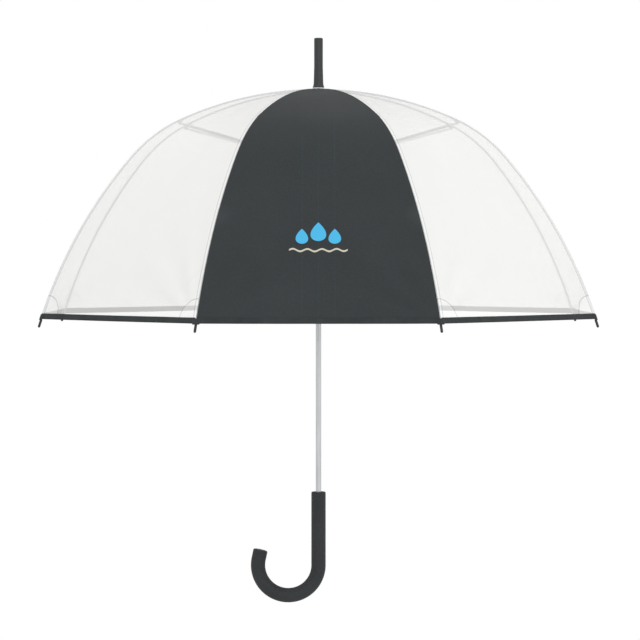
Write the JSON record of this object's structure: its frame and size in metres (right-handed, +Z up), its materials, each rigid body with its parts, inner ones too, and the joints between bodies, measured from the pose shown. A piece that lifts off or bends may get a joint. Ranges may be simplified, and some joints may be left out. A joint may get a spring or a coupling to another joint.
{
  "type": "clear dome umbrella",
  "caption": "Stick umbrella with a deep dome of clear film and dark cloth panels on hinged ribs, a sliding runner and a curved matte grip; it folds shut along the shaft.",
  "frame": {"origin": "On the shaft axis, half way along the straight part of the grip.", "axes": "+Z runs up the shaft to the spike, -Y is the front with the printed dark panel, and the crook turns toward -X."},
  "size_m": [0.7906, 0.7906, 0.8305],
  "materials": {
    "bright_tube": "bright, satin",
    "grip_black": "matte rubberised coat",
    "cap_black": "satin",
    "tip_black": "satin",
    "pale_plastic": "moulded",
    "milky_plastic": "milky",
    "plain_steel": "drawn wire and spring strip",
    "rib_steel": "grey",
    "channel_steel": "zinc plated",
    "dark_cloth": "fine plain weave",
    "clear_film": "clear soft film"
  },
  "bodies": {
    "stem": {"shaft": "bright_tube", "handle": "grip_black", "crown_notch": "pale_plastic", "notch_wire": "plain_steel", "spike": "cap_black", "spike_washer": "milky_plastic", "stop_pin": "plain_steel"},
    "runner": {"runner": "pale_plastic", "runner_wire": "plain_steel"},
    "upper_catch": {"upper_catch": "plain_steel"},
    "lower_catch": {"lower_catch": "plain_steel"},
    "rib_upper_1": {"rib_upper_1": "rib_steel"},
    "rib_lower_1": {"rib_lower_1": "rib_steel", "rib_tip_1": "tip_black"},
    "stretcher_1": {"stretcher_1": "channel_steel"},
    "panel_upper_1": {"panel_upper_1": "dark_cloth"},
    "panel_lower_1": {"panel_lower_1": "dark_cloth"},
    "rib_upper_2": {"rib_upper_2": "rib_steel"},
    "rib_lower_2": {"rib_lower_2": "rib_steel", "rib_tip_2": "tip_black"},
    "stretcher_2": {"stretcher_2": "channel_steel"},
    "panel_upper_2": {"panel_upper_2": "clear_film"},
    "panel_lower_2": {"panel_lower_2": "clear_film"},
    "rib_upper_3": {"rib_upper_3": "rib_steel"},
    "rib_lower_3": {"rib_lower_3": "rib_steel", "rib_tip_3": "tip_black"},
    "stretcher_3": {"stretcher_3": "channel_steel"},
    "panel_upper_3": {"panel_upper_3": "clear_film"},
    "panel_lower_3": {"panel_lower_3": "clear_film"},
    "rib_upper_4": {"rib_upper_4": "rib_steel"},
    "rib_lower_4": {"rib_lower_4": "rib_steel", "rib_tip_4": "tip_black"},
    "stretcher_4": {"stretcher_4": "channel_steel"},
    "panel_upper_4": {"panel_upper_4": "clear_film"},
    "panel_lower_4": {"panel_lower_4": "clear_film"},
    "rib_upper_5": {"rib_upper_5": "rib_steel"},
    "rib_lower_5": {"rib_lower_5": "rib_steel", "rib_tip_5": "tip_black"},
    "stretcher_5": {"stretcher_5": "channel_steel"},
    "panel_upper_5": {"panel_upper_5": "dark_cloth"},
    "panel_lower_5": {"panel_lower_5": "dark_cloth"},
    "rib_upper_6": {"rib_upper_6": "rib_steel"},
    "rib_lower_6": {"rib_lower_6": "rib_steel", "rib_tip_6": "tip_black"},
    "stretcher_6": {"stretcher_6": "channel_steel"},
    "panel_upper_6": {"panel_upper_6": "clear_film"},
    "panel_lower_6": {"panel_lower_6": "clear_film"},
    "rib_upper_7": {"rib_upper_7": "rib_steel"},
    "rib_lower_7": {"rib_lower_7": "rib_steel", "rib_tip_7": "tip_black"},
    "stretcher_7": {"stretcher_7": "channel_steel"},
    "panel_upper_7": {"panel_upper_7": "clear_film"},
    "panel_lower_7": {"panel_lower_7": "clear_film"},
    "rib_upper_8": {"rib_upper_8": "rib_steel"},
    "rib_lower_8": {"rib_lower_8": "rib_steel", "rib_tip_8": "tip_black"},
    "stretcher_8": {"stretcher_8": "channel_steel"},
    "panel_upper_8": {"panel_upper_8": "clear_film"},
    "panel_lower_8": {"panel_lower_8": "clear_film"}
  },
  "joints": [
    {"name": "canopy_fold", "type": "hinge", "parent": "stem", "child": "rib_upper_1", "pos_m": [0.00383, -0.00924, 0.6445], "axis": [0.9239, 0.3827, 0], "range_deg": [0, 74.2]},
    {"name": "rib_bend_1", "type": "hinge", "parent": "rib_upper_1", "child": "rib_lower_1", "pos_m": [0.08306, -0.20052, 0.59591], "axis": [0.9239, 0.3827, 0], "range_deg": [-39.91, 0]},
    {"name": "stretcher_hinge_1", "type": "hinge", "parent": "rib_upper_1", "child": "stretcher_1", "pos_m": [0.08241, -0.19896, 0.59229], "axis": [0.9239, 0.3827, 0], "range_deg": [-148.41, 0]},
    {"name": "panel_crown_fold_1", "type": "hinge", "parent": "stem", "child": "panel_upper_1", "pos_m": [0, -0.00924, 0.6445], "axis": [1, 0, 0], "range_deg": [0, 74.21], "deforming": ["panel_upper_1"]},
    {"name": "panel_seam_fold_1", "type": "hinge", "parent": "panel_upper_1", "child": "panel_lower_1", "pos_m": [0, -0.20133, 0.59752], "axis": [1, 0, 0], "range_deg": [-42.04, 0], "deforming": ["panel_lower_1"]},
    {"name": "rib_crown_hinge_2", "type": "hinge", "parent": "stem", "child": "rib_upper_2", "pos_m": [0.00924, -0.00383, 0.6445], "axis": [0.3827, 0.9239, 0], "range_deg": [0, 74.2]},
    {"name": "rib_bend_2", "type": "hinge", "parent": "rib_upper_2", "child": "rib_lower_2", "pos_m": [0.20052, -0.08306, 0.59591], "axis": [0.3827, 0.9239, 0], "range_deg": [-39.91, 0]},
    {"name": "stretcher_hinge_2", "type": "hinge", "parent": "rib_upper_2", "child": "stretcher_2", "pos_m": [0.19896, -0.08241, 0.59229], "axis": [0.3827, 0.9239, 0], "range_deg": [-148.41, 0]},
    {"name": "panel_crown_fold_2", "type": "hinge", "parent": "stem", "child": "panel_upper_2", "pos_m": [0.00653, -0.00653, 0.6445], "axis": [0.7071, 0.7071, 0], "range_deg": [0, 74.21], "deforming": ["panel_upper_2"]},
    {"name": "panel_seam_fold_2", "type": "hinge", "parent": "panel_upper_2", "child": "panel_lower_2", "pos_m": [0.14236, -0.14236, 0.59752], "axis": [0.7071, 0.7071, 0], "range_deg": [-42.04, 0], "deforming": ["panel_lower_2"]},
    {"name": "rib_crown_hinge_3", "type": "hinge", "parent": "stem", "child": "rib_upper_3", "pos_m": [0.00924, 0.00383, 0.6445], "axis": [-0.3827, 0.9239, 0], "range_deg": [0, 74.2]},
    {"name": "rib_bend_3", "type": "hinge", "parent": "rib_upper_3", "child": "rib_lower_3", "pos_m": [0.20052, 0.08306, 0.59591], "axis": [-0.3827, 0.9239, 0], "range_deg": [-39.91, 0]},
    {"name": "stretcher_hinge_3", "type": "hinge", "parent": "rib_upper_3", "child": "stretcher_3", "pos_m": [0.19896, 0.08241, 0.59229], "axis": [-0.3827, 0.9239, 0], "range_deg": [-148.41, 0]},
    {"name": "panel_crown_fold_3", "type": "hinge", "parent": "stem", "child": "panel_upper_3", "pos_m": [0.00924, 0, 0.6445], "axis": [0, 1, 0], "range_deg": [0, 74.21], "deforming": ["panel_upper_3"]},
    {"name": "panel_seam_fold_3", "type": "hinge", "parent": "panel_upper_3", "child": "panel_lower_3", "pos_m": [0.20133, 0, 0.59752], "axis": [0, 1, 0], "range_deg": [-42.04, 0], "deforming": ["panel_lower_3"]},
    {"name": "rib_crown_hinge_4", "type": "hinge", "parent": "stem", "child": "rib_upper_4", "pos_m": [0.00383, 0.00924, 0.6445], "axis": [-0.9239, 0.3827, 0], "range_deg": [0, 74.2]},
    {"name": "rib_bend_4", "type": "hinge", "parent": "rib_upper_4", "child": "rib_lower_4", "pos_m": [0.08306, 0.20052, 0.59591], "axis": [-0.9239, 0.3827, 0], "range_deg": [-39.91, 0]},
    {"name": "stretcher_hinge_4", "type": "hinge", "parent": "rib_upper_4", "child": "stretcher_4", "pos_m": [0.08241, 0.19896, 0.59229], "axis": [-0.9239, 0.3827, 0], "range_deg": [-148.41, 0]},
    {"name": "panel_crown_fold_4", "type": "hinge", "parent": "stem", "child": "panel_upper_4", "pos_m": [0.00653, 0.00653, 0.6445], "axis": [-0.7071, 0.7071, 0], "range_deg": [0, 74.21], "deforming": ["panel_upper_4"]},
    {"name": "panel_seam_fold_4", "type": "hinge", "parent": "panel_upper_4", "child": "panel_lower_4", "pos_m": [0.14236, 0.14236, 0.59752], "axis": [-0.7071, 0.7071, 0], "range_deg": [-42.04, 0], "deforming": ["panel_lower_4"]},
    {"name": "rib_crown_hinge_5", "type": "hinge", "parent": "stem", "child": "rib_upper_5", "pos_m": [-0.00383, 0.00924, 0.6445], "axis": [-0.9239, -0.3827, 0], "range_deg": [0, 74.2]},
    {"name": "rib_bend_5", "type": "hinge", "parent": "rib_upper_5", "child": "rib_lower_5", "pos_m": [-0.08306, 0.20052, 0.59591], "axis": [-0.9239, -0.3827, 0], "range_deg": [-39.91, 0]},
    {"name": "stretcher_hinge_5", "type": "hinge", "parent": "rib_upper_5", "child": "stretcher_5", "pos_m": [-0.08241, 0.19896, 0.59229], "axis": [-0.9239, -0.3827, 0], "range_deg": [-148.41, 0]},
    {"name": "panel_crown_fold_5", "type": "hinge", "parent": "stem", "child": "panel_upper_5", "pos_m": [0, 0.00924, 0.6445], "axis": [-1, 0, 0], "range_deg": [0, 74.21], "deforming": ["panel_upper_5"]},
    {"name": "panel_seam_fold_5", "type": "hinge", "parent": "panel_upper_5", "child": "panel_lower_5", "pos_m": [0, 0.20133, 0.59752], "axis": [-1, 0, 0], "range_deg": [-42.04, 0], "deforming": ["panel_lower_5"]},
    {"name": "rib_crown_hinge_6", "type": "hinge", "parent": "stem", "child": "rib_upper_6", "pos_m": [-0.00924, 0.00383, 0.6445], "axis": [-0.3827, -0.9239, 0], "range_deg": [0, 74.2]},
    {"name": "rib_bend_6", "type": "hinge", "parent": "rib_upper_6", "child": "rib_lower_6", "pos_m": [-0.20052, 0.08306, 0.59591], "axis": [-0.3827, -0.9239, 0], "range_deg": [-39.91, 0]},
    {"name": "stretcher_hinge_6", "type": "hinge", "parent": "rib_upper_6", "child": "stretcher_6", "pos_m": [-0.19896, 0.08241, 0.59229], "axis": [-0.3827, -0.9239, 0], "range_deg": [-148.41, 0]},
    {"name": "panel_crown_fold_6", "type": "hinge", "parent": "stem", "child": "panel_upper_6", "pos_m": [-0.00653, 0.00653, 0.6445], "axis": [-0.7071, -0.7071, 0], "range_deg": [0, 74.21], "deforming": ["panel_upper_6"]},
    {"name": "panel_seam_fold_6", "type": "hinge", "parent": "panel_upper_6", "child": "panel_lower_6", "pos_m": [-0.14236, 0.14236, 0.59752], "axis": [-0.7071, -0.7071, 0], "range_deg": [-42.04, 0], "deforming": ["panel_lower_6"]},
    {"name": "rib_crown_hinge_7", "type": "hinge", "parent": "stem", "child": "rib_upper_7", "pos_m": [-0.00924, -0.00383, 0.6445], "axis": [0.3827, -0.9239, 0], "range_deg": [0, 74.2]},
    {"name": "rib_bend_7", "type": "hinge", "parent": "rib_upper_7", "child": "rib_lower_7", "pos_m": [-0.20052, -0.08306, 0.59591], "axis": [0.3827, -0.9239, 0], "range_deg": [-39.91, 0]},
    {"name": "stretcher_hinge_7", "type": "hinge", "parent": "rib_upper_7", "child": "stretcher_7", "pos_m": [-0.19896, -0.08241, 0.59229], "axis": [0.3827, -0.9239, 0], "range_deg": [-148.41, 0]},
    {"name": "panel_crown_fold_7", "type": "hinge", "parent": "stem", "child": "panel_upper_7", "pos_m": [-0.00924, 0, 0.6445], "axis": [0, -1, 0], "range_deg": [0, 74.21], "deforming": ["panel_upper_7"]},
    {"name": "panel_seam_fold_7", "type": "hinge", "parent": "panel_upper_7", "child": "panel_lower_7", "pos_m": [-0.20133, 0, 0.59752], "axis": [0, -1, 0], "range_deg": [-42.04, 0], "deforming": ["panel_lower_7"]},
    {"name": "rib_crown_hinge_8", "type": "hinge", "parent": "stem", "child": "rib_upper_8", "pos_m": [-0.00383, -0.00924, 0.6445], "axis": [0.9239, -0.3827, 0], "range_deg": [0, 74.2]},
    {"name": "rib_bend_8", "type": "hinge", "parent": "rib_upper_8", "child": "rib_lower_8", "pos_m": [-0.08306, -0.20052, 0.59591], "axis": [0.9239, -0.3827, 0], "range_deg": [-39.91, 0]},
    {"name": "stretcher_hinge_8", "type": "hinge", "parent": "rib_upper_8", "child": "stretcher_8", "pos_m": [-0.08241, -0.19896, 0.59229], "axis": [0.9239, -0.3827, 0], "range_deg": [-148.41, 0]},
    {"name": "panel_crown_fold_8", "type": "hinge", "parent": "stem", "child": "panel_upper_8", "pos_m": [-0.00653, -0.00653, 0.6445], "axis": [0.7071, -0.7071, 0], "range_deg": [0, 74.21], "deforming": ["panel_upper_8"]},
    {"name": "panel_seam_fold_8", "type": "hinge", "parent": "panel_upper_8", "child": "panel_lower_8", "pos_m": [-0.14236, -0.14236, 0.59752], "axis": [0.7071, -0.7071, 0], "range_deg": [-42.04, 0], "deforming": ["panel_lower_8"]},
    {"name": "runner_hinge", "type": "hinge", "parent": "stretcher_1", "child": "runner", "pos_m": [0.00383, -0.00924, 0.54008], "axis": [0.9239, 0.3827, 0], "range_deg": [0, 74.21]},
    {"name": "upper_catch_press", "type": "hinge", "parent": "stem", "child": "upper_catch", "pos_m": [0, 0, 0.44438], "axis": [1, 0, 0], "range_deg": [0, 6.5], "stiffness_Nm_per_rad": 0.3, "springref_deg": -5.73},
    {"name": "lower_catch_press", "type": "hinge", "parent": "stem", "child": "lower_catch", "pos_m": [0, 0, 0.18658], "axis": [-1, 0, 0], "range_deg": [0, 6.5], "stiffness_Nm_per_rad": 0.3, "springref_deg": -5.73}
  ],
  "couplings": [
    {"joint": "rib_bend_1", "follows": "canopy_fold", "ratio": -0.5378},
    {"joint": "stretcher_hinge_1", "follows": "canopy_fold", "ratio": -2},
    {"joint": "panel_crown_fold_1", "follows": "canopy_fold", "ratio": 1},
    {"joint": "panel_seam_fold_1", "follows": "canopy_fold", "ratio": -0.5665},
    {"joint": "rib_crown_hinge_2", "follows": "canopy_fold", "ratio": 1},
    {"joint": "rib_bend_2", "follows": "canopy_fold", "ratio": -0.5378},
    {"joint": "stretcher_hinge_2", "follows": "canopy_fold", "ratio": -2},
    {"joint": "panel_crown_fold_2", "follows": "canopy_fold", "ratio": 1},
    {"joint": "panel_seam_fold_2", "follows": "canopy_fold", "ratio": -0.5665},
    {"joint": "rib_crown_hinge_3", "follows": "canopy_fold", "ratio": 1},
    {"joint": "rib_bend_3", "follows": "canopy_fold", "ratio": -0.5378},
    {"joint": "stretcher_hinge_3", "follows": "canopy_fold", "ratio": -2},
    {"joint": "panel_crown_fold_3", "follows": "canopy_fold", "ratio": 1},
    {"joint": "panel_seam_fold_3", "follows": "canopy_fold", "ratio": -0.5665},
    {"joint": "rib_crown_hinge_4", "follows": "canopy_fold", "ratio": 1},
    {"joint": "rib_bend_4", "follows": "canopy_fold", "ratio": -0.5378},
    {"joint": "stretcher_hinge_4", "follows": "canopy_fold", "ratio": -2},
    {"joint": "panel_crown_fold_4", "follows": "canopy_fold", "ratio": 1},
    {"joint": "panel_seam_fold_4", "follows": "canopy_fold", "ratio": -0.5665},
    {"joint": "rib_crown_hinge_5", "follows": "canopy_fold", "ratio": 1},
    {"joint": "rib_bend_5", "follows": "canopy_fold", "ratio": -0.5378},
    {"joint": "stretcher_hinge_5", "follows": "canopy_fold", "ratio": -2},
    {"joint": "panel_crown_fold_5", "follows": "canopy_fold", "ratio": 1},
    {"joint": "panel_seam_fold_5", "follows": "canopy_fold", "ratio": -0.5665},
    {"joint": "rib_crown_hinge_6", "follows": "canopy_fold", "ratio": 1},
    {"joint": "rib_bend_6", "follows": "canopy_fold", "ratio": -0.5378},
    {"joint": "stretcher_hinge_6", "follows": "canopy_fold", "ratio": -2},
    {"joint": "panel_crown_fold_6", "follows": "canopy_fold", "ratio": 1},
    {"joint": "panel_seam_fold_6", "follows": "canopy_fold", "ratio": -0.5665},
    {"joint": "rib_crown_hinge_7", "follows": "canopy_fold", "ratio": 1},
    {"joint": "rib_bend_7", "follows": "canopy_fold", "ratio": -0.5378},
    {"joint": "stretcher_hinge_7", "follows": "canopy_fold", "ratio": -2},
    {"joint": "panel_crown_fold_7", "follows": "canopy_fold", "ratio": 1},
    {"joint": "panel_seam_fold_7", "follows": "canopy_fold", "ratio": -0.5665},
    {"joint": "rib_crown_hinge_8", "follows": "canopy_fold", "ratio": 1},
    {"joint": "rib_bend_8", "follows": "canopy_fold", "ratio": -0.5378},
    {"joint": "stretcher_hinge_8", "follows": "canopy_fold", "ratio": -2},
    {"joint": "panel_crown_fold_8", "follows": "canopy_fold", "ratio": 1},
    {"joint": "panel_seam_fold_8", "follows": "canopy_fold", "ratio": -0.5665},
    {"joint": "runner_hinge", "follows": "canopy_fold", "ratio": 1}
  ]
}
